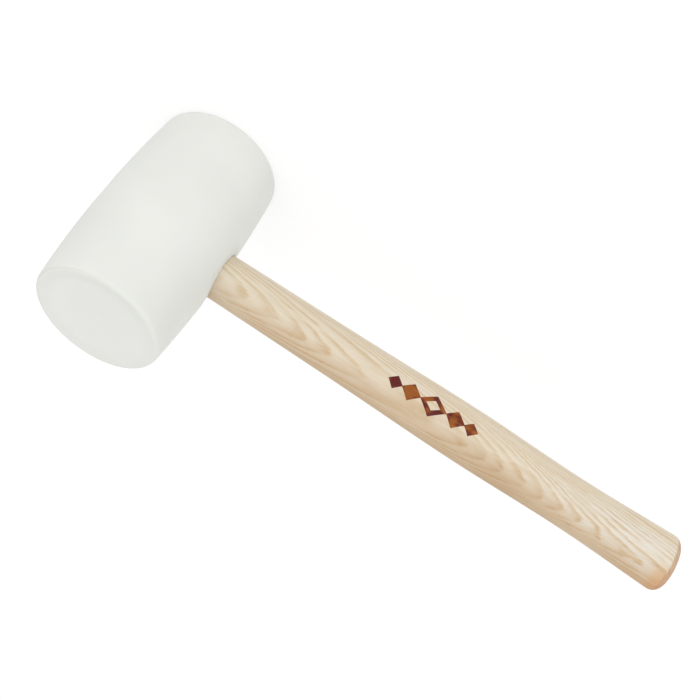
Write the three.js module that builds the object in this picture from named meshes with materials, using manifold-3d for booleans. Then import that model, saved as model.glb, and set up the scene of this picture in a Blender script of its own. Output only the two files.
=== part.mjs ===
// Rubber mallet: a moulded white rubber head on an oval ash handle. The handle's end runs right
// through the oval eye of the head, where a hardwood wedge and a steel wedge spread it.
//
// Millimetres, +Z up along the head's axis. The origin is the centre of the lower striking face,
// so the mallet stands on that face with its handle running out level along +X.

import * as THREE from "three";
import { mergeVertices } from "three/addons/utils/BufferGeometryUtils.js";
import Module from "manifold-3d";

const wasm = await Module();
wasm.setup();

// ---------------------------------------------------------------- driving dimensions

const HEAD_LENGTH = 118.7; // striking face to striking face
const HEAD_RADIUS = 36; // at the belly of the barrel, level with the handle
const FACE_RADIUS = 33.2; // where the barrel would meet the plane of a striking face
const FACE_FILLET = 3; // rounded rim of a striking face
const EYE_CLEARANCE = 0.1; // between the handle and the wall of the eye

const HANDLE_LENGTH = 336.5; // sawn end in the eye to the butt
const END_SUNK = 3; // the sawn end lies this far inside the belly, a little below the sides of the eye
const END_CHAMFER = 0.6;
const BUTT_FILLET = 5.2;

const SAW_KERF = 1.5; // slot sawn down the end of the handle before it is wedged
const KERF_DEPTH = 50;
const WOOD_WEDGE_LENGTH = 40;
const WOOD_WEDGE_TOP = 4.6; // thickness at the sawn end
const WOOD_WEDGE_TIP = 1.2;
const STEEL_WEDGE_LENGTH = 20;
const STEEL_WEDGE_WIDTH = 14; // along Y, across the wood wedge
const STEEL_WEDGE_TOP = 3.2;
const STEEL_WEDGE_TIP = 1;
const STEEL_WEDGE_BARBS = 5; // steps down each flank
const BARB_DEPTH = 0.35;
const STEEL_WEDGE_SUNK = 0.4; // driven just below the sawn end
const OVERCUT = 2; // each slot and the eye run out past the surface they open on
const WEDGE_CLEARANCE = 0.15; // around each wedge in its slot

const HEAD_SEGMENTS = 72; // round the head's axis
const HANDLE_SEGMENTS = 48; // round the handle's axis
const BARREL_RINGS = 14;
const FILLET_RINGS = 5;
const HANDLE_RINGS = 30;

// Distances along X from the head's axis.
const SAWN_END = -(HEAD_RADIUS - END_SUNK);
const BUTT_END = SAWN_END + HANDLE_LENGTH;

// The handle's oval section, from the eye to the butt: [station along X, half-width along Z,
// half-thickness along Y]. It is waisted inside the head, so that the wedged end can't pull
// through, swells under the palm, narrows behind it and flares to the butt.
const HANDLE_SECTIONS = [
  [SAWN_END, 13.7, 11.0],
  [-4, 12.9, 9.6],
  [HEAD_RADIUS, 13.25, 9.95],
  [110, 14.05, 10.75],
  [180, 15.25, 11.9],
  [245, 14.45, 11.4],
  [BUTT_END - BUTT_FILLET, 16.1, 12.8],
];

// ---------------------------------------------------------------- materials

const whiteRubber = new THREE.MeshStandardMaterial({ color: 0xebece7, roughness: 0.6, metalness: 0 });
const ash = new THREE.MeshStandardMaterial({ color: 0xe2d1b4, roughness: 0.45, metalness: 0 });
const beech = new THREE.MeshStandardMaterial({ color: 0xc79d6d, roughness: 0.6, metalness: 0 });
const steel = new THREE.MeshStandardMaterial({ color: 0x8e9092, roughness: 0.4, metalness: 1 });

// ---------------------------------------------------------------- solids and booleans

// A closed three.js geometry as a manifold-3d solid.
function solidOf(geometry) {
  const positionsOnly = geometry.clone();
  positionsOnly.deleteAttribute("normal");
  positionsOnly.deleteAttribute("uv");
  const merged = mergeVertices(positionsOnly, 1e-4);
  const mesh = new wasm.Mesh({
    numProp: 3,
    vertProperties: new Float32Array(merged.attributes.position.array),
    triVerts: new Uint32Array(merged.index.array),
  });
  return new wasm.Manifold(mesh);
}

// A manifold-3d solid as a three.js mesh with a name and a material.
function meshOf(name, solid, material) {
  const { vertProperties, triVerts } = solid.getMesh();
  const geometry = new THREE.BufferGeometry();
  geometry.setAttribute("position", new THREE.BufferAttribute(vertProperties, 3));
  geometry.setIndex(new THREE.BufferAttribute(triVerts, 1));
  geometry.computeVertexNormals();
  const mesh = new THREE.Mesh(geometry, material);
  mesh.name = name;
  return mesh;
}

// A bar along X with oval sections, closed by a flat face at each end. Each section is
// { station, width, thickness }, with half sizes, in order along X.
function ovalBar(sections) {
  const first = sections[0];
  const last = sections[sections.length - 1];
  const rings = [
    { station: first.station, width: 0, thickness: 0 },
    ...sections,
    { station: last.station, width: 0, thickness: 0 },
  ];
  const profile = rings.map((ring) => new THREE.Vector2(ring.width, ring.station));
  const geometry = new THREE.LatheGeometry(profile, HANDLE_SEGMENTS);
  geometry.rotateZ(-Math.PI / 2); // the lathe's axis turns from Y to X, and its radius spans Y and Z
  const position = geometry.attributes.position;
  for (let i = 0; i < position.count; i++) {
    const ring = rings[i % rings.length];
    const flattening = ring.width > 0 ? ring.thickness / ring.width : 1;
    position.setY(i, position.getY(i) * flattening);
  }
  return solidOf(geometry);
}

// A wedge whose outline lies in a plane through the handle's axis: a list of [depth, half thickness]
// from its top to its tip, spread `width` to both sides. Depth runs along +X from the sawn end.
function wedgeSolid(outline, width, acrossHandle) {
  const shape = new THREE.Shape();
  outline.forEach(([depth, half], i) => (i === 0 ? shape.moveTo(depth, half) : shape.lineTo(depth, half)));
  [...outline].reverse().forEach(([depth, half]) => shape.lineTo(depth, -half));
  shape.closePath();
  const geometry = new THREE.ExtrudeGeometry(shape, { depth: width, bevelEnabled: false });
  geometry.translate(SAWN_END, 0, -width / 2);
  if (acrossHandle) geometry.rotateX(-Math.PI / 2); // its width turns from Z to Y
  return solidOf(geometry);
}

// ---------------------------------------------------------------- head

// Half of the barrel's outline is a shallow arc; both ends close with a fillet and a flat face.
function barrel() {
  const halfLength = HEAD_LENGTH / 2;
  const bulge = HEAD_RADIUS - FACE_RADIUS;
  const arcRadius = (halfLength ** 2 + bulge ** 2) / (2 * bulge);
  const radiusAt = (z) => HEAD_RADIUS - arcRadius + Math.sqrt(arcRadius ** 2 - z ** 2);

  const filletZ = halfLength - FACE_FILLET;
  const flatRadius = radiusAt(filletZ) - FACE_FILLET;
  const upperFillet = Array.from({ length: FILLET_RINGS }, (_, i) => {
    const angle = ((i + 1) / FILLET_RINGS) * (Math.PI / 2);
    return new THREE.Vector2(
      flatRadius + FACE_FILLET * Math.cos(angle),
      filletZ + FACE_FILLET * Math.sin(angle),
    );
  });
  const lowerFillet = upperFillet.map((p) => new THREE.Vector2(p.x, -p.y)).reverse();
  const side = Array.from({ length: BARREL_RINGS + 1 }, (_, i) => {
    const z = filletZ * ((2 * i) / BARREL_RINGS - 1);
    return new THREE.Vector2(radiusAt(z), z);
  });
  const profile = [
    new THREE.Vector2(0, -halfLength),
    ...lowerFillet,
    ...side,
    ...upperFillet,
    new THREE.Vector2(0, halfLength),
  ];
  const geometry = new THREE.LatheGeometry(profile, HEAD_SEGMENTS);
  geometry.rotateX(Math.PI / 2); // the lathe's axis turns from Y to Z
  return solidOf(geometry);
}

// The eye follows the handle's section, and runs out past both sides of the head.
function eye(sections) {
  const inHead = sections
    .filter(({ station }) => station < HEAD_RADIUS + HEAD_RADIUS / 2)
    .map(({ station, width, thickness }) => ({
      station,
      width: width + EYE_CLEARANCE,
      thickness: thickness + EYE_CLEARANCE,
    }));
  const overrun = { ...inHead[0], station: -(HEAD_RADIUS + OVERCUT) };
  return ovalBar([overrun, ...inHead]);
}

// ---------------------------------------------------------------- handle

// Sections along the whole handle but its ends, smoothed through the control sections.
function handleBody() {
  const curve = new THREE.CatmullRomCurve3(HANDLE_SECTIONS.map((s) => new THREE.Vector3(...s)));
  return curve.getPoints(HANDLE_RINGS).map((p) => ({ station: p.x, width: p.y, thickness: p.z }));
}

// A section drawn in from its outline by `inset`, moved to another station.
function insetSection(section, inset, station) {
  return { station, width: section.width - inset, thickness: section.thickness - inset };
}

function handleBlank(body) {
  const top = body[0];
  const butt = body[body.length - 1];
  const chamfered = [
    insetSection(top, END_CHAMFER, SAWN_END),
    insetSection(top, 0, SAWN_END + END_CHAMFER),
  ];
  const filleted = Array.from({ length: FILLET_RINGS }, (_, i) => {
    const angle = ((i + 1) / FILLET_RINGS) * (Math.PI / 2);
    const inset = BUTT_FILLET * (1 - Math.cos(angle));
    return insetSection(butt, inset, butt.station + BUTT_FILLET * Math.sin(angle));
  });
  return ovalBar([...chamfered, ...body.slice(1), ...filleted]);
}

// The sawn slot, opened to the shape of the wood wedge. It is open at the end of the handle and
// at both narrow sides.
function kerf() {
  const outline = [
    [-OVERCUT, WOOD_WEDGE_TOP / 2 + WEDGE_CLEARANCE],
    [WOOD_WEDGE_LENGTH, WOOD_WEDGE_TIP / 2 + WEDGE_CLEARANCE],
    [WOOD_WEDGE_LENGTH, SAW_KERF / 2],
    [KERF_DEPTH, SAW_KERF / 2],
  ];
  return wedgeSolid(outline, 3 * HEAD_RADIUS, false);
}

// ---------------------------------------------------------------- wedges

// The wood wedge is sawn off and sanded with the end of the handle, so it takes the handle's outline.
function woodWedge(blank) {
  const outline = [
    [-OVERCUT, WOOD_WEDGE_TOP / 2],
    [WOOD_WEDGE_LENGTH, WOOD_WEDGE_TIP / 2],
  ];
  return wedgeSolid(outline, 3 * HEAD_RADIUS, false).intersect(blank);
}

function steelWedgeHalf(depth) {
  const share = (depth - STEEL_WEDGE_SUNK) / STEEL_WEDGE_LENGTH;
  return THREE.MathUtils.lerp(STEEL_WEDGE_TOP, STEEL_WEDGE_TIP, share) / 2;
}

// Each flank steps back under a barb, so that the driven wedge can't work loose.
function steelWedge() {
  const outline = [];
  for (let i = 0; i < STEEL_WEDGE_BARBS; i++) {
    const top = STEEL_WEDGE_SUNK + (i * STEEL_WEDGE_LENGTH) / STEEL_WEDGE_BARBS;
    const bottom = STEEL_WEDGE_SUNK + ((i + 1) * STEEL_WEDGE_LENGTH) / STEEL_WEDGE_BARBS;
    outline.push([top, steelWedgeHalf(top)]);
    outline.push([bottom, steelWedgeHalf(bottom) - BARB_DEPTH / 2]);
  }
  return wedgeSolid(outline, STEEL_WEDGE_WIDTH, true);
}

// The steel wedge's own slot through both woods.
function steelWedgeSlot() {
  const bottom = STEEL_WEDGE_SUNK + STEEL_WEDGE_LENGTH + WEDGE_CLEARANCE;
  const outline = [
    [-OVERCUT, steelWedgeHalf(-OVERCUT) + WEDGE_CLEARANCE],
    [bottom, steelWedgeHalf(bottom) + WEDGE_CLEARANCE],
  ];
  return wedgeSolid(outline, STEEL_WEDGE_WIDTH + 2 * WEDGE_CLEARANCE, true);
}

// ---------------------------------------------------------------- assembly

const body = handleBody();
const blank = handleBlank(body);
const steelSlot = steelWedgeSlot();

const mallet = new THREE.Group();
mallet.position.z = HEAD_LENGTH / 2; // the pieces are drawn about the centre of the head
mallet.add(
  meshOf("rubber_head", barrel().subtract(eye(body)), whiteRubber),
  meshOf("handle", blank.subtract(kerf()).subtract(steelSlot), ash),
  meshOf("wood_wedge", woodWedge(blank).subtract(steelSlot), beech),
  meshOf("steel_wedge", steelWedge(), steel),
);

const part = new THREE.Group();
part.add(mallet);

export default part;
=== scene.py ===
"""Rubber mallet, as it looks: a moulded white rubber head through-wedged on a lacquered ash handle.

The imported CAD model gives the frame: +Z runs up the head's axis from the lower striking face, and
the handle runs out level along +X. Everything here is in metres. The head, the handle and the two
wedges are rebuilt as fine meshes inside the same outlines, and every material is procedural.
"""

import math

import bpy
from mathutils import Matrix, Vector


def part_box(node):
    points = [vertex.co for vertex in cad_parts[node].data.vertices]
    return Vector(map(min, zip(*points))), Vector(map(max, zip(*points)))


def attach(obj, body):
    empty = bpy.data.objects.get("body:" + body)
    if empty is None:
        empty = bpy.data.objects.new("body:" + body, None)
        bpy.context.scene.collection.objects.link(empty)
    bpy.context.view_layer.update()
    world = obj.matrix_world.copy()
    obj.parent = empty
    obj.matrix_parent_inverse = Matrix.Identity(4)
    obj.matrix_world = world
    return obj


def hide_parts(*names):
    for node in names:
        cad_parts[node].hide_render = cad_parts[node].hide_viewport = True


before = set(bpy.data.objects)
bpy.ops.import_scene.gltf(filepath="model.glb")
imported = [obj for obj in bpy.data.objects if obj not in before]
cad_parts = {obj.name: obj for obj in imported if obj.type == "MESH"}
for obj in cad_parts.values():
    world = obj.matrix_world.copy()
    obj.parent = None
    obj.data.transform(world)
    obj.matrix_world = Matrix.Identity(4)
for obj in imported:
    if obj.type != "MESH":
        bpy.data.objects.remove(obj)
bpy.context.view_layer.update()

# ---------------------------------------------------------------- sizes

MM = 0.001

HEAD_LOW, HEAD_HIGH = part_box("rubber_head")
HANDLE_LOW, HANDLE_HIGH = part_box("handle")
HEAD_LENGTH = HEAD_HIGH.z - HEAD_LOW.z
HEAD_RADIUS = (HEAD_HIGH.y - HEAD_LOW.y) / 2
MIDDLE = (HEAD_LOW.z + HEAD_HIGH.z) / 2  # height of the handle's centre line
SAWN_END = HANDLE_LOW.x
BUTT_END = HANDLE_HIGH.x

# The head.
FACE_RADIUS = 33.2 * MM  # where the barrel would meet the plane of a striking face
FACE_FILLET = 3.0 * MM  # along the barrel
FACE_FILLET_IN = 2.0 * MM  # across the face
FACE_SINK = 0.45 * MM  # the middle of a striking face lies this far below its rim
FACE_SINK_WIDTH = 6.0 * MM
RIDGE_HEIGHT = 0.06 * MM  # mould line down both sides of the barrel that the eye opens on
RIDGE_ANGLE = math.radians(0.4)
RIDGE_END = 0.9 * FACE_RADIUS  # the mould line runs over the rim to this distance from the axis
EYE_LIP = 0.7 * MM  # rounding of the eye's two mouths
EYE_GAP = 0.06 * MM  # between the rubber and the handle
EYE_DISH = 0.3 * MM  # how far the handle has drawn the rubber in round the mouth it leaves by

# The handle: [station along X, half-width along Z, half-thickness along Y].
BUTT_FILLET = 5.2 * MM
END_CHAMFER = 0.6 * MM
HANDLE_SECTIONS = [
    (SAWN_END, 13.7 * MM, 11.0 * MM),
    (-4 * MM, 12.9 * MM, 9.6 * MM),
    (HEAD_RADIUS, 13.25 * MM, 9.95 * MM),
    (110 * MM, 14.05 * MM, 10.75 * MM),
    (180 * MM, 15.25 * MM, 11.9 * MM),
    (245 * MM, 14.45 * MM, 11.4 * MM),
    (BUTT_END - BUTT_FILLET, 16.1 * MM, 12.8 * MM),
]

# The wedges. Depths run along +X from the sawn end.
KERF_WIDTH = 1.5 * MM
KERF_DEPTH = 50 * MM
WOOD_WEDGE_LENGTH = 40 * MM
WOOD_WEDGE_TOP = 4.6 * MM
WOOD_WEDGE_TIP = 1.2 * MM
STEEL_LOW, STEEL_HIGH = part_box("steel_wedge")
STEEL_WEDGE_LENGTH = STEEL_HIGH.x - STEEL_LOW.x
STEEL_WEDGE_WIDTH = STEEL_HIGH.y - STEEL_LOW.y
STEEL_WEDGE_TOP = STEEL_HIGH.z - STEEL_LOW.z
STEEL_WEDGE_TIP = 1.0 * MM
STEEL_WEDGE_BARBS = 5
BARB_DEPTH = 0.35 * MM
STEEL_WEDGE_SUNK = STEEL_LOW.x - SAWN_END
STEEL_WEDGE_EDGE = 0.12 * MM  # width of its eased edges
WEDGE_GAP = 0.12 * MM
OVERCUT = 2 * MM
RIGHT_ACROSS = 3 * HEAD_RADIUS  # more than the width of the handle at any place

# How finely the meshes are divided.
HEAD_COLUMNS = 180
SIDE_ROWS = 90
FILLET_RINGS = 8
SINK_RINGS = 6
FACE_RINGS = (0.97, 0.75, 0.5, 0.25)  # as shares of the radius of a face's sunk middle
EYE_WINDOW_ROWS = 15  # above and below the eye's centre
EYE_WINDOW_COLUMNS = 13  # each side of the eye's centre, one of them beside the mould line
EYE_PATCH_RINGS = 10
LIP_RINGS = 5
TUNNEL_RINGS = 24
HANDLE_POINTS = 128
HANDLE_RING_STEP = 1.5 * MM
CHAMFER_RINGS = 3
BUTT_RINGS = 12
SAWN_FACE_RINGS = (0.3, 0.6, 0.9)  # as shares of the sawn end's half-sizes
BUTT_FACE_RINGS = (0.95, 0.7, 0.35)  # as shares of the butt's flat
SMOOTH_ANGLE = math.radians(35)


# ---------------------------------------------------------------- mesh helpers

def add_mesh(name, points, faces):
    """A smooth-shaded mesh object of the points that faces use, sharp at edges over SMOOTH_ANGLE."""
    used = sorted({i for face in faces for i in face})
    place = {old: new for new, old in enumerate(used)}
    mesh = bpy.data.meshes.new(name)
    mesh.from_pydata(
        [tuple(points[i]) for i in used], [], [[place[i] for i in face] for face in faces]
    )
    piece = bpy.data.objects.new(name, mesh)
    bpy.context.scene.collection.objects.link(piece)
    smooth(piece)
    return piece


def smooth(piece):
    piece.data.shade_smooth()
    piece.data.set_sharp_from_angle(angle=SMOOTH_ANGLE)


def strip(lower, upper):
    """Quads between two closed loops of vertex indices, facing out when lower runs anticlockwise."""
    count = len(lower)
    return [
        (lower[i], lower[(i + 1) % count], upper[(i + 1) % count], upper[i])
        for i in range(count)
    ]


def fan(loop, centre):
    return [(loop[i], loop[(i + 1) % len(loop)], centre) for i in range(len(loop))]


def combine(piece, other, operation):
    """Cuts piece by other, or keeps what they share, and deletes other."""
    modifier = piece.modifiers.new("combine", "BOOLEAN")
    modifier.operation = operation
    modifier.solver = "EXACT"
    modifier.object = other
    bpy.context.view_layer.objects.active = piece
    bpy.ops.object.modifier_apply(modifier=modifier.name)
    bpy.data.objects.remove(other)
    smooth(piece)


# ---------------------------------------------------------------- rubber head

def barrel_radius(height):
    """Radius of the barrel at a height above its middle: a shallow arc."""
    bulge = HEAD_RADIUS - FACE_RADIUS
    half = HEAD_LENGTH / 2
    arc = (half ** 2 + bulge ** 2) / (2 * bulge)
    return HEAD_RADIUS - arc + math.sqrt(arc ** 2 - height ** 2)


def upper_rim_profile():
    """(radius, height) from the end of the barrel's side over the rim to near the face's centre."""
    fillet_height = HEAD_LENGTH / 2 - FACE_FILLET
    flat_radius = barrel_radius(fillet_height) - FACE_FILLET_IN
    points = []
    for i in range(1, FILLET_RINGS + 1):
        angle = i / FILLET_RINGS * math.pi / 2
        points.append((
            flat_radius + FACE_FILLET_IN * math.cos(angle),
            fillet_height + FACE_FILLET * math.sin(angle),
        ))
    for i in range(1, SINK_RINGS + 1):
        share = i / SINK_RINGS
        sink = FACE_SINK * (3 * share ** 2 - 2 * share ** 3)
        points.append((flat_radius - FACE_SINK_WIDTH * share, HEAD_LENGTH / 2 - sink))
    sunk_radius, sunk_height = points[-1]
    for share in FACE_RINGS:
        points.append((sunk_radius * share, sunk_height))
    return points


def barrel_profile():
    """(radius, height) from near the lower face's centre to near the upper face's centre."""
    upper = upper_rim_profile()
    lower = [(radius, -height) for radius, height in reversed(upper)]
    fillet_height = HEAD_LENGTH / 2 - FACE_FILLET
    heights = [fillet_height * (2 * i / SIDE_ROWS - 1) for i in range(SIDE_ROWS + 1)]
    side = [(barrel_radius(height), height) for height in heights]
    return lower + side + upper


def column_angles():
    """Angles round the barrel, with two close columns beside each mould line."""
    even = [2 * math.pi * j / HEAD_COLUMNS for j in range(HEAD_COLUMNS)]
    beside = [RIDGE_ANGLE, math.pi - RIDGE_ANGLE, math.pi + RIDGE_ANGLE, 2 * math.pi - RIDGE_ANGLE]
    return sorted(even + beside)


def on_barrel(side, y, height):
    """The point of the barrel's surface straight out along X from (y, height)."""
    return Vector((side * math.sqrt(barrel_radius(height) ** 2 - y ** 2), y, height))


def barrel_grid(points):
    """Adds the barrel's points, and returns their indices as rings of columns, lowest ring first."""
    grid = []
    for radius, height in barrel_profile():
        ring = []
        for angle in column_angles():
            at_line = min(angle, abs(angle - math.pi)) < RIDGE_ANGLE / 2
            swollen = radius + (RIDGE_HEIGHT if at_line and radius > RIDGE_END else 0)
            ring.append(len(points))
            points.append(Vector((swollen * math.cos(angle), swollen * math.sin(angle), height)))
        grid.append(ring)
    return grid


def barrel_faces(points, grid):
    """Faces of the barrel and of both its ends, leaving out the window round each of the eye's
    mouths."""
    columns = len(grid[0])
    middle_row = len(grid) // 2

    def in_window(row, column):
        if not middle_row - EYE_WINDOW_ROWS <= row < middle_row + EYE_WINDOW_ROWS:
            return False
        offsets = [(column - centre) % columns for centre in (0, columns // 2)]
        return any(o < EYE_WINDOW_COLUMNS or o >= columns - EYE_WINDOW_COLUMNS for o in offsets)

    faces = []
    for row in range(len(grid) - 1):
        for column, quad in enumerate(strip(grid[row], grid[row + 1])):
            if not in_window(row, column):
                faces.append(quad)
    for ring in (grid[0], grid[-1]):
        height = points[ring[0]].z
        centre = len(points)
        points.append(Vector((0, 0, height)))
        faces += fan(ring if height > 0 else ring[::-1], centre)
    return faces


def window_edge(grid, side):
    """Grid points round the window: anticlockwise from outside at +X, and its mirror at -X."""
    columns = len(grid[0])
    low, high = len(grid) // 2 - EYE_WINDOW_ROWS, len(grid) // 2 + EYE_WINDOW_ROWS
    across = range(-EYE_WINDOW_COLUMNS, EYE_WINDOW_COLUMNS)
    up = range(low, high)
    walk = [(low, column) for column in across]
    walk += [(row, EYE_WINDOW_COLUMNS) for row in up]
    walk += [(high, -column) for column in across]
    walk += [(low + high - row, -EYE_WINDOW_COLUMNS) for row in up]
    if side > 0:
        return [grid[row][column % columns] for row, column in walk]
    return [grid[row][(columns // 2 - column) % columns] for row, column in walk]


def eye_point(side, bearing, grow, depth):
    """A point of the eye's oval on the barrel, made larger by grow and set in by depth. bearing is
    the angle round the oval."""
    width, thickness = section_at(side * HEAD_RADIUS)
    y = (thickness + EYE_GAP + grow) * math.cos(bearing)
    height = (width + EYE_GAP + grow) * math.sin(bearing)
    return on_barrel(side, y, height) - Vector((side * depth, 0, 0))


def mouth_rings(side, edge, bearings):
    """Rings of points that shrink from the window's edge to the mouth of the eye and turn in over
    its rounded lip."""
    dish = EYE_DISH if side > 0 else 0
    rings = []
    for k in range(1, EYE_PATCH_RINGS + 1):
        share = k / EYE_PATCH_RINGS
        drawn_in = Vector((side * dish * share ** 2 * (3 - 2 * share), 0, 0))
        ring = []
        for start, bearing in zip(edge, bearings):
            mouth = eye_point(side, bearing, EYE_LIP, dish)
            y = start.y + (mouth.y - start.y) * share
            height = start.z + (mouth.z - start.z) * share
            ring.append(on_barrel(side, y, height) - drawn_in)
        rings.append(ring)
    for k in range(1, LIP_RINGS + 1):
        turn = k / LIP_RINGS * math.pi / 2
        grow = EYE_LIP * (1 - math.sin(turn))
        depth = EYE_LIP * (1 - math.cos(turn))
        rings.append([eye_point(side, bearing, grow, dish + depth) for bearing in bearings])
    return rings


def add_mouth(points, faces, grid, side):
    """Fills one window up to the inside of the eye. Returns the last ring and its bearings."""
    edge = window_edge(grid, side)
    width, thickness = section_at(side * HEAD_RADIUS)
    bearings = [math.atan2(points[i].z / width, points[i].y / thickness) for i in edge]
    previous = edge
    for ring in mouth_rings(side, [points[i] for i in edge], bearings):
        current = list(range(len(points), len(points) + len(ring)))
        points += ring
        quads = strip(previous, current)
        faces += quads if side > 0 else [quad[::-1] for quad in quads]
        previous = current
    return previous, bearings


def add_tunnel(points, faces, near, far, bearings):
    """The inside of the eye, from the mouth at +X to the mouth at -X."""
    previous = near
    for k in range(1, TUNNEL_RINGS):
        share = k / TUNNEL_RINGS
        current = []
        for i, j, bearing in zip(near, far, bearings):
            x = points[i].x + (points[j].x - points[i].x) * share
            width, thickness = section_at(x)
            current.append(len(points))
            points.append(Vector((
                x,
                (thickness + EYE_GAP) * math.cos(bearing),
                (width + EYE_GAP) * math.sin(bearing),
            )))
        faces += strip(previous, current)
        previous = current
    faces += strip(previous, far)


def make_head():
    """The barrel is a grid of rings and columns. On both sides of the head a window of that grid is
    left out and filled up to the mouth of the eye, and the eye joins the two mouths."""
    points = []
    grid = barrel_grid(points)
    faces = barrel_faces(points, grid)
    near, bearings = add_mouth(points, faces, grid, 1)
    far, _ = add_mouth(points, faces, grid, -1)
    add_tunnel(points, faces, near, far, bearings)
    return add_mesh("rubber_head_moulding", [p + Vector((0, 0, MIDDLE)) for p in points], faces)


# ---------------------------------------------------------------- ash handle

def section_at(x):
    """(half-width, half-thickness) of the handle at x: a smooth cubic through HANDLE_SECTIONS."""
    stations = [s[0] for s in HANDLE_SECTIONS]
    x = min(max(x, stations[0]), stations[-1])
    i = max(k for k in range(len(stations) - 1) if stations[k] <= x)
    span = stations[i + 1] - stations[i]
    t = (x - stations[i]) / span

    def slope(k, column):
        before, after = max(k - 1, 0), min(k + 1, len(stations) - 1)
        rise = HANDLE_SECTIONS[after][column] - HANDLE_SECTIONS[before][column]
        return rise / (stations[after] - stations[before])

    sizes = []
    for column in (1, 2):
        low, high = HANDLE_SECTIONS[i][column], HANDLE_SECTIONS[i + 1][column]
        sizes.append(
            (2 * t ** 3 - 3 * t ** 2 + 1) * low
            + (t ** 3 - 2 * t ** 2 + t) * span * slope(i, column)
            + (3 * t ** 2 - 2 * t ** 3) * high
            + (t ** 3 - t ** 2) * span * slope(i + 1, column)
        )
    return tuple(sizes)


def handle_rings():
    """(station, half-width, half-thickness) of every ring from the sawn end to the butt."""
    width, thickness = section_at(SAWN_END)
    rings = [(SAWN_END, width * share, thickness * share) for share in SAWN_FACE_RINGS]
    for i in range(CHAMFER_RINGS + 1):
        angle = i / CHAMFER_RINGS * math.pi / 2
        inset = END_CHAMFER * (1 - math.sin(angle))
        depth = END_CHAMFER * (1 - math.cos(angle))
        rings.append((SAWN_END + depth, width - inset, thickness - inset))
    start = SAWN_END + END_CHAMFER + HANDLE_RING_STEP
    stop = BUTT_END - BUTT_FILLET
    steps = round((stop - start) / HANDLE_RING_STEP)
    for i in range(steps + 1):
        x = start + (stop - start) * i / steps
        rings.append((x, *section_at(x)))
    width, thickness = section_at(stop)
    for i in range(1, BUTT_RINGS + 1):
        angle = i / BUTT_RINGS * math.pi / 2
        inset = BUTT_FILLET * (1 - math.cos(angle))
        rings.append((stop + BUTT_FILLET * math.sin(angle), width - inset, thickness - inset))
    for share in BUTT_FACE_RINGS:
        rings.append((BUTT_END, (width - BUTT_FILLET) * share, (thickness - BUTT_FILLET) * share))
    return rings


def make_blank(name):
    """The whole stick, before any cut."""
    points = []
    loops = []
    for x, width, thickness in handle_rings():
        loop = []
        for i in range(HANDLE_POINTS):
            angle = 2 * math.pi * i / HANDLE_POINTS
            loop.append(len(points))
            points.append((x, thickness * math.cos(angle), MIDDLE + width * math.sin(angle)))
        loops.append(loop)
    faces = []
    for low, high in zip(loops, loops[1:]):
        faces += strip(low, high)
    sawn_centre, butt_centre = len(points), len(points) + 1
    points += [(SAWN_END, 0, MIDDLE), (BUTT_END, 0, MIDDLE)]
    faces += fan(loops[0][::-1], sawn_centre) + fan(loops[-1], butt_centre)
    return add_mesh(name, points, faces)


def make_wedge(name, outline, width, across):
    """A wedge through the handle's axis. outline is [(depth, half thickness), ...] from top to tip,
    and the wedge spreads width/2 to both sides: along Z, or along Y when across."""
    flat = outline + [(depth, -half) for depth, half in reversed(outline)]
    count = len(flat)
    points = []
    for offset in (-width / 2, width / 2):
        for depth, half in flat:
            y, z = (offset, half) if across else (half, offset)
            points.append((SAWN_END + depth, y, MIDDLE + z))
    faces = strip(list(range(count)), list(range(count, 2 * count)))
    faces += [tuple(range(count - 1, -1, -1)), tuple(range(count, 2 * count))]
    if not across:
        faces = [face[::-1] for face in faces]
    return add_mesh(name, points, faces)


def kerf_outline():
    """The kerf is spread by the wood wedge, and is a plain saw cut below the wedge's tip."""
    return [
        (-OVERCUT, WOOD_WEDGE_TOP / 2 + WEDGE_GAP),
        (WOOD_WEDGE_LENGTH, WOOD_WEDGE_TIP / 2 + WEDGE_GAP),
        (WOOD_WEDGE_LENGTH, KERF_WIDTH / 2),
        (KERF_DEPTH, KERF_WIDTH / 2),
    ]


def steel_half(depth):
    """Half-thickness of the steel wedge at a depth below the sawn end."""
    share = (depth - STEEL_WEDGE_SUNK) / STEEL_WEDGE_LENGTH
    return (STEEL_WEDGE_TOP + (STEEL_WEDGE_TIP - STEEL_WEDGE_TOP) * share) / 2


def steel_slot(name):
    bottom = STEEL_WEDGE_SUNK + STEEL_WEDGE_LENGTH + WEDGE_GAP
    outline = [(depth, steel_half(depth) + WEDGE_GAP) for depth in (-OVERCUT, bottom)]
    return make_wedge(name, outline, STEEL_WEDGE_WIDTH + 2 * WEDGE_GAP, True)


def make_handle():
    handle = make_blank("handle_ash")
    combine(handle, make_wedge("kerf", kerf_outline(), RIGHT_ACROSS, False), "DIFFERENCE")
    combine(handle, steel_slot("steel_slot"), "DIFFERENCE")
    return handle


def make_wood_wedge():
    outline = [(-OVERCUT, WOOD_WEDGE_TOP / 2), (WOOD_WEDGE_LENGTH, WOOD_WEDGE_TIP / 2)]
    wedge = make_wedge("wood_wedge_beech", outline, RIGHT_ACROSS, False)
    combine(wedge, make_blank("blank"), "INTERSECT")
    combine(wedge, steel_slot("steel_slot"), "DIFFERENCE")
    return wedge


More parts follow.
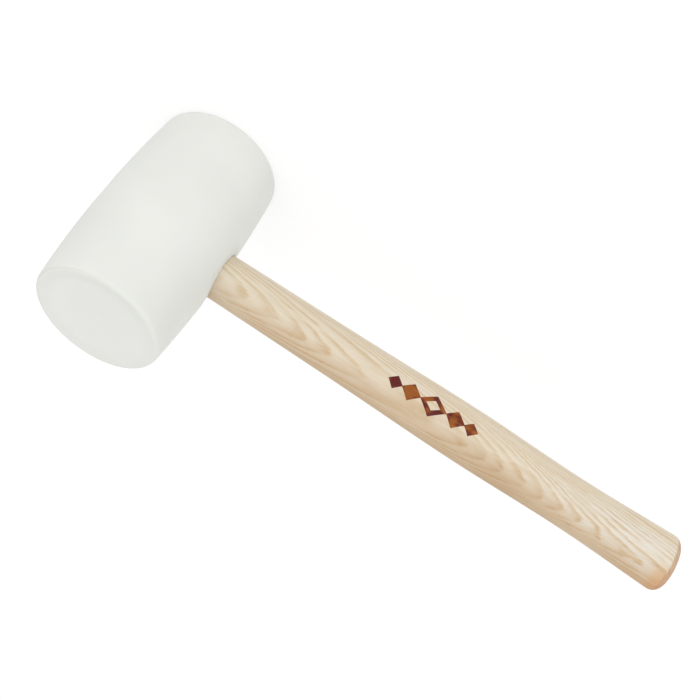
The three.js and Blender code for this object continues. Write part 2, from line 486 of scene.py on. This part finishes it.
def make_steel_wedge():
    outline = []
    for i in range(STEEL_WEDGE_BARBS):
        top = STEEL_WEDGE_SUNK + i * STEEL_WEDGE_LENGTH / STEEL_WEDGE_BARBS
        bottom = STEEL_WEDGE_SUNK + (i + 1) * STEEL_WEDGE_LENGTH / STEEL_WEDGE_BARBS
        outline.append((top, steel_half(top)))
        outline.append((bottom, steel_half(bottom) - BARB_DEPTH / 2))
    wedge = make_wedge("steel_wedge_barbed", outline, STEEL_WEDGE_WIDTH, True)
    bevel = wedge.modifiers.new("eased_edges", "BEVEL")
    bevel.width = STEEL_WEDGE_EDGE
    bevel.segments = 2
    bpy.context.view_layer.objects.active = wedge
    bpy.ops.object.modifier_apply(modifier=bevel.name)
    smooth(wedge)
    return wedge


# ---------------------------------------------------------------- shader helpers

class Shader:
    """A node material under construction. Every method returns an output socket."""

    def __init__(self, name):
        self.material = bpy.data.materials.new(name)
        self.material.use_nodes = True
        self.tree = self.material.node_tree
        self.principled = self.tree.nodes["Principled BSDF"]

    def node(self, kind, **settings):
        node = self.tree.nodes.new(kind)
        for name, value in settings.items():
            setattr(node, name, value)
        return node

    def put(self, socket, value):
        """Joins an output socket to an input, or sets the input's own value."""
        if isinstance(value, bpy.types.NodeSocket):
            self.tree.links.new(value, socket)
        else:
            socket.default_value = value

    def maths(self, operation, *values):
        node = self.node("ShaderNodeMath", operation=operation)
        for socket, value in zip(node.inputs, values):
            self.put(socket, value)
        return node.outputs[0]

    def add(self, a, b):
        return self.maths("ADD", a, b)

    def times(self, a, b):
        return self.maths("MULTIPLY", a, b)

    def position_mm(self):
        """x, y, z in millimetres from the head's axis at the height of the handle."""
        coordinates = self.node("ShaderNodeTexCoord")
        split = self.node("ShaderNodeSeparateXYZ")
        self.put(split.inputs[0], coordinates.outputs["Object"])
        x = self.times(split.outputs[0], 1 / MM)
        y = self.times(split.outputs[1], 1 / MM)
        z = self.times(self.maths("SUBTRACT", split.outputs[2], MIDDLE), 1 / MM)
        return x, y, z

    def vector(self, x, y, z):
        node = self.node("ShaderNodeCombineXYZ")
        for socket, value in zip(node.inputs, (x, y, z)):
            self.put(socket, value)
        return node.outputs[0]

    def stretched(self, x, y, z, along, across, shift=0.0):
        """A place in a noise that changes by along per millimetre of grain and across per
        millimetre across it."""
        along_grain = self.add(self.times(x, along), shift)
        return self.vector(along_grain, self.times(y, across), self.times(z, across))

    def noise(self, place, scale, detail=2.0, roughness=0.5, distortion=0.0):
        node = self.node("ShaderNodeTexNoise")
        self.put(node.inputs["Vector"], place)
        self.put(node.inputs["Scale"], scale)
        self.put(node.inputs["Detail"], detail)
        self.put(node.inputs["Roughness"], roughness)
        self.put(node.inputs["Distortion"], distortion)
        return node.outputs[0]

    def cells(self, place, scale):
        """Distance to the nearest of a field of scattered points."""
        node = self.node("ShaderNodeTexVoronoi")
        self.put(node.inputs["Vector"], place)
        self.put(node.inputs["Scale"], scale)
        return node.outputs["Distance"]

    def between(self, value, low, high, to_low=0.0, to_high=1.0):
        """value mapped from low..high to to_low..to_high, eased and held at both ends."""
        node = self.node("ShaderNodeMapRange", interpolation_type="SMOOTHSTEP")
        for socket, number in zip(node.inputs, (value, low, high, to_low, to_high)):
            self.put(socket, number)
        return node.outputs[0]

    def ramp(self, value, stops):
        """A colour ramp through [(position, (r, g, b)), ...]."""
        node = self.node("ShaderNodeValToRGB")
        elements = node.color_ramp.elements
        while len(elements) < len(stops):
            elements.new(0.5)
        for element, (position, colour) in zip(elements, stops):
            element.position = position
            element.color = (*colour, 1)
        self.put(node.inputs[0], value)
        return node.outputs[0]

    def mix(self, share, a, b, blend="MIX"):
        node = self.node("ShaderNodeMix", data_type="RGBA", blend_type=blend)
        self.put(node.inputs[0], share)
        for socket, colour in zip((node.inputs[6], node.inputs[7]), (a, b)):
            self.put(socket, (*colour, 1) if isinstance(colour, tuple) else colour)
        return node.outputs[2]

    def bump(self, height, distance, strength=1.0, normal=None):
        node = self.node("ShaderNodeBump")
        self.put(node.inputs["Height"], height)
        self.put(node.inputs["Distance"], distance)
        self.put(node.inputs["Strength"], strength)
        if normal is not None:
            self.put(node.inputs["Normal"], normal)
        return node.outputs[0]

    def surface(self, **inputs):
        """Sets inputs of the Principled BSDF, named with underscores for spaces."""
        for name, value in inputs.items():
            socket = self.principled.inputs[name.replace("_", " ")]
            self.put(socket, (*value, 1) if isinstance(value, tuple) and len(value) == 3
                     and socket.type == "RGBA" else value)
        return self.material


def srgb(red, green, blue):
    """A screen colour of 0 to 255 a channel, as the linear colour that shaders take."""
    def linear(channel):
        c = channel / 255
        return c / 12.92 if c <= 0.04045 else ((c + 0.055) / 1.055) ** 2.4
    return linear(red), linear(green), linear(blue)


# ---------------------------------------------------------------- materials

RUBBER = srgb(214, 215, 210)
RUBBER_CLOUD = srgb(211, 212, 207)
RUBBER_SPECK = srgb(190, 184, 170)
RUBBER_SPREAD = (1.2 * MM, 1.1 * MM, 0.9 * MM)  # how far red, green and blue light spreads in it
SPECK_REACH = (0.03, 0.06)  # where a speck is full and where it has ended, in spacings of specks
SPECK_SHARE = 0.12

# Painted shade round a striking face, inside its rim, in millimetres: where it begins and is full.
RIM_SHADE = srgb(204, 205, 199)
RIM_SHADE_SHARE = 0.35
RIM_SHADE_RADIUS = (22.0, 29.0)
RIM_SHADE_HEIGHT = (57.9, 59.1)
RIM_SHADE_LEAN = -0.02  # it reaches lower down the rim on the side away from the handle

# A thin painted shade line round the rim, in millimetres.
RIM_SHADE_LINE = srgb(186, 187, 181)
RIM_SHADE_LINE_SHARE = 0.35
RIM_SHADE_LINE_HEIGHT = 58.9
RIM_SHADE_LINE_WIDTH = 0.45
RIM_SHADE_LINE_RADIUS = (31.3, 31.8)  # where it begins and is full
RIM_SHADE_LINE_FADE = (-24.0, 4.0)  # along X


def rubber_material():
    """White, chalk-filled rubber: matt, very faintly clouded, with the fine texture of its mould, and
    painted shade inside the rim of each face.
    """
    s = Shader("white_rubber_moulded")
    x, y, z = s.position_mm()
    place = s.vector(x, y, z)
    cloud = s.noise(place, scale=0.03, detail=2)
    base = s.mix(s.between(cloud, 0.3, 0.7), RUBBER_CLOUD, RUBBER)
    specks = s.between(s.cells(place, scale=0.2), *SPECK_REACH, SPECK_SHARE, 0)
    base = s.mix(specks, base, RUBBER_SPECK)

    # Painted shade inside the rim of each striking face.
    radius = s.maths("SQRT", s.add(s.times(x, x), s.times(y, y)))
    height = s.maths("ABSOLUTE", z)
    on_face = s.between(s.add(height, s.times(x, RIM_SHADE_LEAN)), *RIM_SHADE_HEIGHT)
    shade = s.times(s.between(radius, *RIM_SHADE_RADIUS), on_face)
    base = s.mix(s.times(shade, RIM_SHADE_SHARE), base, RIM_SHADE)

    # The painted shade line is darkest away from the handle and fades out towards it.
    from_shade_line = s.maths("ABSOLUTE", s.maths("SUBTRACT", height, RIM_SHADE_LINE_HEIGHT))
    line = s.times(s.between(from_shade_line, 0, RIM_SHADE_LINE_WIDTH, 1, 0), s.between(radius, *RIM_SHADE_LINE_RADIUS))
    line = s.times(line, s.between(x, *RIM_SHADE_LINE_FADE, 1, 0))
    base = s.mix(s.times(line, RIM_SHADE_LINE_SHARE), base, RIM_SHADE_LINE)

    grain = s.noise(place, scale=1.6, detail=4, roughness=0.65)
    swell = s.noise(place, scale=0.1, detail=1)
    normal = s.bump(grain, distance=0.03 * MM, strength=0.4)
    normal = s.bump(swell, distance=0.2 * MM, strength=0.2, normal=normal)
    return s.surface(
        Base_Color=base,
        Roughness=s.between(grain, 0.3, 0.7, 0.66, 0.76),
        Specular_IOR_Level=0.25,
        Subsurface_Weight=0.1,
        Subsurface_Radius=RUBBER_SPREAD,
        Subsurface_Scale=1.0,
        Normal=normal,
    )


# The growth rings of the handle's ash are cylinders about the tree's pith, a line that passes
# beside the stick and slowly nears it towards the butt. Distances are in millimetres.
PITH_STATION = 170.0
PITH_Y, PITH_Y_SLOPE = -25.0, 0.077
PITH_Z, PITH_Z_SLOPE = -14.0, 0.0095
RING_WIDTH = 0.937
RING_START = 0.5
RING_CENTRE = 43.0  # ring radius about which the widths of the years swell and shrink
RING_SWELLS = [(0.347, 15.4), (0.253, 5.0)]  # [share of the width, period]
RING_WANDER = [(0.02, 0.06, 0.9), (0.1, 0.4, 0.4), (0.25, 1.8, 0.28)]  # [along, across, size]

# Early wood is tan and fades outwards into the pale late wood of the same year.
LATE_WOOD = srgb(208, 198, 180)
EARLY_WOOD = srgb(191, 168, 134)
EARLY_SHARES = [  # [part of the year gone by, how much of the wood is early]
    (0.0, 0.75), (0.06, 1.0), (0.2, 0.85), (0.42, 0.35), (0.65, 0.04), (0.9, 0.05), (1.0, 0.75),
]
EARLY_STRETCH = (0.04, 0.25)  # how fast its strength changes along the grain and across it

# Fine streaks, broad clouds, and pores, which are short tubes along the grain.
STREAK_WOOD = srgb(195, 178, 152)
STREAK_STRETCH = (0.06, 1.0)
STREAK_SHARE = 0.5
CLOUD_STRETCH = (0.035, 0.2)
CLOUD_SHIFT = 6.0  # which stretch of the noise the clouds are taken from
CLOUD_SHARE = 0.45
PORE_WOOD = srgb(160, 124, 88)
PORE_STRETCH = (0.09, 1.0)
PORE_SHARE = 0.4

# Where the late wood is paler, in millimetres: partly the ash's own pale late wood and partly a
# painted sheen of the lacquer, in a patch that widens to the butt.
PALE_WOOD_AND_SHEEN = srgb(209, 207, 201)
SHEEN_Z = 5.0
SHEEN_EDGE = (7.0, 2.0)  # distance from its middle height at which it has ended and at which it is full
SHEEN_START = (195.0, 265.0)
SHEEN_END = (280.0, 300.0)  # it fades here, to the share on the next line
SHEEN_END_SHARE = 0.5
SHEEN_SPREAD = 0.05  # how much it widens on each side per millimetre
SHEEN_SPREAD_START = 200.0
SHEEN_SHARE = 0.7

# Where the wood darkens towards the heart of the tree, in millimetres. Near the head it is held
# lighter: painted light bounced from the white rubber.
HEART_TINT = (0.76, 0.64, 0.52)
HEART_EDGE = (4.0, 14.5)
HEART_HEAD_GLOW = (36.0, 75.0)
HEART_SHARES = (0.55, 0.75)  # at the near end, where painted light from the white head lifts it, and beyond the far end of the stretch above
HEART_DARKEST = 205.0
HEART_DARKEST_REACH = 50.0
HEART_DARKEST_SHARE = 0.25
HEART_SHEEN_SHARE = 0.5  # how far the pale wood and painted sheen hold the dark wood off

# Where the lacquer has turned amber, in millimetres along X and up the side away from the palm:
# lightly along the side, and fully in a band before the butt.
AMBER_TINT = (1.0, 0.78, 0.6)
AMBER_SIDE_START = (262.0, 298.0)
AMBER_SIDE_EDGE = (11.0, 17.0)
AMBER_SIDE_SHARE = 0.45
AMBER_BAND_START = (289.0, 298.0)
AMBER_BAND_EDGE = (-1.0, 11.0)
AMBER_LEAN = -0.6  # it reaches further down on the side that faces -Y

# The ends, where the grain is cut across, and a thin darker line that rings them. Places are slants,
# 0 on the sides of the stick and 1 on its ends.
END_GRAIN = srgb(186, 150, 118)
END_GRAIN_EARLY = srgb(158, 121, 90)
END_GRAIN_SLANT = (0.15, 0.42)
END_GRAIN_SHARE = 0.8
END_LINE = srgb(150, 112, 80)
END_LINE_START = (0.12, 0.26)
END_LINE_END = (0.3, 0.5)
END_LINE_SHARE = 0.2

# The printed ornament, in millimetres: [distance from its centre, half-length, half-height].
INK_DARK = srgb(84, 10, 2)
INK_LIGHT = srgb(136, 72, 6)
INK_EDGE = 0.08  # softness of the print's edge
ORNAMENT_STATION = 157.5
ORNAMENT_Z = 3.4
ORNAMENT_LOZENGES = [(0, 7.8, 6.0), (12.8, 5.6, 4.9), (22.0, 4.2, 3.8)]
ORNAMENT_OPENING = (0, 4.0, 2.8)


def ring_count(s, x, y, z):
    """How many growth rings lie between the pith and a point, as a number with a fraction."""
    along = s.maths("SUBTRACT", x, PITH_STATION)
    from_y = s.maths("SUBTRACT", y, s.add(s.times(along, PITH_Y_SLOPE), PITH_Y))
    from_z = s.maths("SUBTRACT", z, s.add(s.times(along, PITH_Z_SLOPE), PITH_Z))
    radius = s.maths("SQRT", s.add(s.times(from_y, from_y), s.times(from_z, from_z)))
    for along_scale, across_scale, size in RING_WANDER:
        place = s.stretched(x, y, z, along_scale, across_scale)
        wander = s.maths("SUBTRACT", s.noise(place, scale=1.0, detail=2), 0.5)
        radius = s.add(radius, s.times(wander, size))
    swell = radius
    for amount, period in RING_SWELLS:
        turn = s.times(s.maths("SUBTRACT", radius, RING_CENTRE), 2 * math.pi / period)
        change = s.times(s.maths("SINE", turn), amount * period / 2 / math.pi)
        swell = s.maths("SUBTRACT", swell, change)
    return s.add(s.maths("DIVIDE", swell, RING_WIDTH), RING_START)


def pale_and_sheen_share(s, x, z):
    """How pale the late wood is, partly its own colour and partly a painted sheen of the lacquer,
    from 0 to 1 where it is palest.
    """
    spread = s.times(s.maths("SUBTRACT", x, SHEEN_SPREAD_START), SHEEN_SPREAD)
    from_sheen = s.maths("ABSOLUTE", s.maths("SUBTRACT", z, SHEEN_Z))
    in_sheen = s.between(s.maths("SUBTRACT", from_sheen, spread), *SHEEN_EDGE)
    share = s.times(s.between(x, *SHEEN_START), in_sheen)
    return s.times(share, s.between(x, *SHEEN_END, 1, SHEEN_END_SHARE))


def heart_share(s, x, z, pale):
    """How dark the wood is, towards the side that lay nearest the heart of the tree, held lighter
    near the head by painted light from the white rubber.
    """
    from_darkest = s.maths("ABSOLUTE", s.maths("SUBTRACT", x, HEART_DARKEST))
    darkest = s.between(from_darkest, HEART_DARKEST_REACH, 0, 0, HEART_DARKEST_SHARE)
    share = s.add(s.between(x, *HEART_HEAD_GLOW, *HEART_SHARES), darkest)
    share = s.times(share, s.between(z, *HEART_EDGE))
    return s.times(share, s.maths("SUBTRACT", 1, s.times(pale, HEART_SHEEN_SHARE)))


def amber_share(s, x, y, z):
    """How far the lacquer has turned amber."""
    up_side = s.add(z, s.times(y, AMBER_LEAN))
    side = s.times(s.between(x, *AMBER_SIDE_START), s.between(up_side, *AMBER_SIDE_EDGE))
    band = s.times(s.between(x, *AMBER_BAND_START), s.between(up_side, *AMBER_BAND_EDGE))
    return s.maths("MAXIMUM", s.times(side, AMBER_SIDE_SHARE), band)


def end_slant(s):
    """How squarely the surface faces along the grain, from 0 to 1."""
    geometry = s.node("ShaderNodeNewGeometry")
    split = s.node("ShaderNodeSeparateXYZ")
    s.put(split.inputs[0], geometry.outputs["Normal"])
    return s.maths("ABSOLUTE", split.outputs[0])


def ornament_mask(s, x, y, z):
    """1 inside the printed ornament: a row of lozenges, the middle one open, that shrink towards
    both ends, on the broad side of the handle that faces +Y."""
    along = s.maths("ABSOLUTE", s.maths("SUBTRACT", x, ORNAMENT_STATION))
    across = s.maths("ABSOLUTE", s.maths("SUBTRACT", z, ORNAMENT_Z))

    def lozenge(offset, half_length, half_height):
        from_centre = s.maths("ABSOLUTE", s.maths("SUBTRACT", along, offset))
        reach = s.add(s.times(from_centre, 1 / half_length), s.times(across, 1 / half_height))
        outside = s.times(s.maths("SUBTRACT", reach, 1), half_height)
        return s.between(outside, -INK_EDGE, INK_EDGE, 1, 0)

    mask = s.maths("SUBTRACT", lozenge(*ORNAMENT_LOZENGES[0]), lozenge(*ORNAMENT_OPENING))
    for sizes in ORNAMENT_LOZENGES[1:]:
        mask = s.add(mask, lozenge(*sizes))
    return s.times(mask, s.between(y, 0, 1))


def ash_material():
    """Lacquered ash with its growth rings, open pores in the early wood, fibres and end grain."""
    s = Shader("ash_lacquered")
    x, y, z = s.position_mm()
    year = s.maths("FRACT", ring_count(s, x, y, z))
    early = s.ramp(year, [(part, (share, share, share)) for part, share in EARLY_SHARES])
    strength = s.noise(s.stretched(x, y, z, *EARLY_STRETCH), scale=1.0, detail=3)
    early = s.times(early, s.between(strength, 0.3, 0.62, 0.2, 1.0))
    # Pale late wood towards the butt, partly its own colour and partly a painted sheen of the
    # lacquer.
    pale = pale_and_sheen_share(s, x, z)
    late = s.mix(s.times(pale, SHEEN_SHARE), LATE_WOOD, PALE_WOOD_AND_SHEEN)
    base = s.mix(early, late, EARLY_WOOD)

    streak = s.noise(s.stretched(x, y, z, *STREAK_STRETCH), scale=1.3, detail=4, roughness=0.65)
    base = s.mix(s.between(streak, 0.35, 0.75, 0, STREAK_SHARE), base, STREAK_WOOD)
    cloud_place = s.stretched(x, y, z, *CLOUD_STRETCH, shift=CLOUD_SHIFT)
    cloud = s.noise(cloud_place, scale=1.0, detail=2)
    base = s.mix(s.between(cloud, 0.45, 0.7, 0, CLOUD_SHARE), base, STREAK_WOOD)

    # The pores are gathered in the early wood.
    from_pore = s.cells(s.stretched(x, y, z, *PORE_STRETCH), scale=1.7)
    pores = s.times(s.between(from_pore, 0.12, 0.3, 1.0, 0.0), s.between(early, 0.2, 0.8, 0.08, 1.0))
    base = s.mix(s.times(pores, PORE_SHARE), base, PORE_WOOD)

    heart = heart_share(s, x, z, pale)
    base = s.mix(heart, base, s.mix(1.0, base, HEART_TINT, "MULTIPLY"))
    base = s.mix(amber_share(s, x, y, z), base, s.mix(1.0, base, AMBER_TINT, "MULTIPLY"))

    # Cut across the grain, at the butt and the sawn end, the wood drinks more lacquer.
    slant = end_slant(s)
    end_grain = s.mix(early, END_GRAIN, END_GRAIN_EARLY)
    base = s.mix(s.times(s.between(slant, *END_GRAIN_SLANT), END_GRAIN_SHARE), base, end_grain)
    line = s.times(s.between(slant, *END_LINE_START), s.between(slant, *END_LINE_END, 1, 0))
    base = s.mix(s.times(line, END_LINE_SHARE), base, END_LINE)

    ink = s.times(ornament_mask(s, x, y, z), s.between(streak, 0.55, 0.8, 1.0, 0.75))
    shade = s.noise(s.vector(x, y, z), scale=0.16, detail=2)
    base = s.mix(ink, base, s.mix(s.between(shade, 0.4, 0.62), INK_DARK, INK_LIGHT))

    height = s.maths("SUBTRACT", s.times(streak, 0.5), s.times(pores, 0.8))
    return s.surface(
        Base_Color=base,
        Roughness=s.add(s.times(pores, 0.12), s.between(streak, 0.3, 0.7, 0.5, 0.6)),
        Specular_IOR_Level=0.2,
        Coat_Weight=0.15,
        Coat_Roughness=0.25,
        Normal=s.bump(height, distance=0.05 * MM, strength=0.5),
    )


BEECH = srgb(196, 152, 108)
BEECH_FIBRE = srgb(170, 124, 82)
BEECH_FLECK = srgb(122, 84, 52)


def beech_material():
    """The wood wedge: darker, plainer wood, with its fibres running into the handle."""
    s = Shader("beech_sawn")
    x, y, z = s.position_mm()
    fibre = s.noise(s.stretched(x, y, z, 0.05, 1.0), scale=2.2, detail=4, roughness=0.6)
    from_fleck = s.cells(s.vector(s.times(x, 0.25), s.times(y, 3), z), scale=0.9)
    base = s.mix(s.between(fibre, 0.3, 0.7), BEECH, BEECH_FIBRE)
    base = s.mix(s.between(from_fleck, 0.05, 0.2, 0.45, 0), base, BEECH_FLECK)
    normal = s.bump(fibre, distance=0.08 * MM, strength=0.5)
    return s.surface(Base_Color=base, Roughness=0.6, Normal=normal)


STEEL = srgb(150, 150, 150)
STEEL_SCALE = srgb(104, 102, 100)


def steel_material():
    """The steel wedge: dull, lightly dented by the hammer that drove it."""
    s = Shader("wedge_steel_dull")
    x, y, z = s.position_mm()
    place = s.vector(x, y, z)
    dents = s.noise(place, scale=0.7, detail=2)
    scale = s.noise(place, scale=2.5, detail=4, roughness=0.7)
    return s.surface(
        Base_Color=s.mix(s.between(scale, 0.35, 0.7), STEEL, STEEL_SCALE),
        Metallic=1.0,
        Roughness=s.between(scale, 0.3, 0.7, 0.32, 0.55),
        Normal=s.bump(dents, distance=0.25 * MM, strength=0.6),
    )


def floor_material():
    """A light table: white, and glowing enough to keep the shadows on it faint."""
    s = Shader("light_table")
    return s.surface(
        Base_Color=(0.35, 0.35, 0.35),
        Roughness=0.9,
        Specular_IOR_Level=0.1,
        Emission_Color=(1, 1, 1),
        Emission_Strength=0.62,
    )


# ---------------------------------------------------------------- pieces

def place_piece(piece, material, node):
    piece.data.materials.clear()
    piece.data.materials.append(material)
    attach(piece, "root")
    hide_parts(node)


place_piece(make_head(), rubber_material(), "rubber_head")
place_piece(make_handle(), ash_material(), "handle")
place_piece(make_wood_wedge(), beech_material(), "wood_wedge")
place_piece(make_steel_wedge(), steel_material(), "steel_wedge")


# ---------------------------------------------------------------- studio

# The camera looks down at the side the handle's wide face is on, and is rolled so that the head
# lies at the upper left and the butt at the lower right.
CAMERA_AIM = Vector((108.9 * MM, 0, MIDDLE - 5.2 * MM))
CAMERA_DISTANCE = 627.1 * MM
CAMERA_AZIMUTH = math.radians(183.13)
CAMERA_ELEVATION = math.radians(34.73)
CAMERA_ROLL = math.radians(-148.8)
CAMERA_LENS = 64.49  # in millimetres, like the width of the sensor
CAMERA_SENSOR = 36
CAMERA_NEAR, CAMERA_FAR = 0.01, 50  # in metres


FLOOR_WIDTH = 8.0
HORIZON_LIGHT = 0.6
ZENITH_LIGHT = 0.72  # added straight above, and fading out towards the horizon
BACKDROP = 1.05  # what the camera sees beyond the floor
KEY_LIGHT = 1.63
KEY_SPREAD = 12  # the higher, the narrower
KEY_DIRECTION = Vector((-0.45, 0.85, 0.3))


def direction(azimuth, elevation):
    """Unit vector from the object, azimuth 0 being towards -Y and 90 degrees towards +X."""
    flat = math.cos(elevation)
    return Vector((math.sin(azimuth) * flat, -math.cos(azimuth) * flat, math.sin(elevation)))


def add_camera():
    back = direction(CAMERA_AZIMUTH, CAMERA_ELEVATION)
    right = Vector((0, 0, 1)).cross(back).normalized()
    up = back.cross(right)
    turn = Matrix.Rotation(CAMERA_ROLL, 3, back)
    right, up = turn @ right, turn @ up
    camera = bpy.data.objects.new("camera", bpy.data.cameras.new("camera"))
    camera.data.lens = CAMERA_LENS
    camera.data.sensor_width = CAMERA_SENSOR
    camera.data.clip_start = CAMERA_NEAR
    camera.data.clip_end = CAMERA_FAR
    rotation = Matrix((right, up, back)).transposed().to_4x4()
    camera.matrix_world = Matrix.Translation(CAMERA_AIM + back * CAMERA_DISTANCE) @ rotation
    bpy.context.scene.collection.objects.link(camera)
    bpy.context.scene.camera = camera


def add_floor():
    half = FLOOR_WIDTH / 2
    corners = [(-half, -half, 0), (half, -half, 0), (half, half, 0), (-half, half, 0)]
    floor = add_mesh("studio_floor", corners, [(0, 1, 2, 3)])
    floor.data.materials.append(floor_material())


def add_world():
    """Soft light from all round, brighter from above, and a broad key light behind the camera."""
    world = bpy.data.worlds.new("studio")
    bpy.context.scene.world = world
    world.use_nodes = True
    tree = world.node_tree
    background = tree.nodes["Background"]
    coordinates = tree.nodes.new("ShaderNodeTexCoord")

    def step(operation, socket, value):
        node = tree.nodes.new("ShaderNodeMath")
        node.operation = operation
        tree.links.new(socket, node.inputs[0])
        if isinstance(value, bpy.types.NodeSocket):
            tree.links.new(value, node.inputs[1])
        else:
            node.inputs[1].default_value = value
        return node.outputs[0]

    def lobe(toward, spread, strength):
        """Light that is strongest from one direction."""
        facing = tree.nodes.new("ShaderNodeVectorMath")
        facing.operation = "DOT_PRODUCT"
        facing.inputs[1].default_value = toward.normalized()
        tree.links.new(coordinates.outputs["Generated"], facing.inputs[0])
        light = facing.outputs["Value"]
        for operation, value in (("MAXIMUM", 0), ("POWER", spread), ("MULTIPLY", strength)):
            light = step(operation, light, value)
        return light

    zenith = lobe(Vector((0, 0, 1)), 1, ZENITH_LIGHT)
    key = lobe(KEY_DIRECTION, KEY_SPREAD, KEY_LIGHT)
    total = step("ADD", step("ADD", zenith, key), HORIZON_LIGHT)
    camera_ray = tree.nodes.new("ShaderNodeLightPath").outputs["Is Camera Ray"]
    seen = step("MAXIMUM", total, step("MULTIPLY", camera_ray, BACKDROP))
    tree.links.new(seen, background.inputs["Strength"])
    background.inputs["Color"].default_value = (1, 1, 1, 1)


def add_softbox(name, target, toward, distance, size, power, glossy):
    """A rectangular light that faces target from a distance in the direction toward."""
    light = bpy.data.lights.new(name, "AREA")
    light.shape = "RECTANGLE"
    light.size, light.size_y = size
    light.energy = power
    lamp = bpy.data.objects.new(name, light)
    lamp.location = target + toward.normalized() * distance
    lamp.rotation_euler = toward.to_track_quat("Z", "Y").to_euler()
    lamp.visible_camera = False
    lamp.visible_glossy = glossy
    bpy.context.scene.collection.objects.link(lamp)


def add_softboxes():
    """One draws a sheen along the lacquer of the grip, and one lights the head's edge from behind.
    The second isn't seen in reflections."""
    add_softbox(
        "sheen_softbox", target=Vector((0.8 * BUTT_END, 0, MIDDLE)),
        toward=Vector((0.30, 0.92, 0.27)), distance=1.3, size=(0.45, 0.35), power=2.5, glossy=True,
    )
    add_softbox(
        "edge_softbox", target=Vector((HEAD_RADIUS, 0, 0.8 * HEAD_LENGTH)),
        toward=Vector((0.52, -0.85, 0.02)), distance=1.0, size=(0.3, 0.15), power=2.0, glossy=False,
    )


add_floor()
add_world()
add_softboxes()
add_camera()
bpy.context.scene.view_settings.view_transform = "Standard"
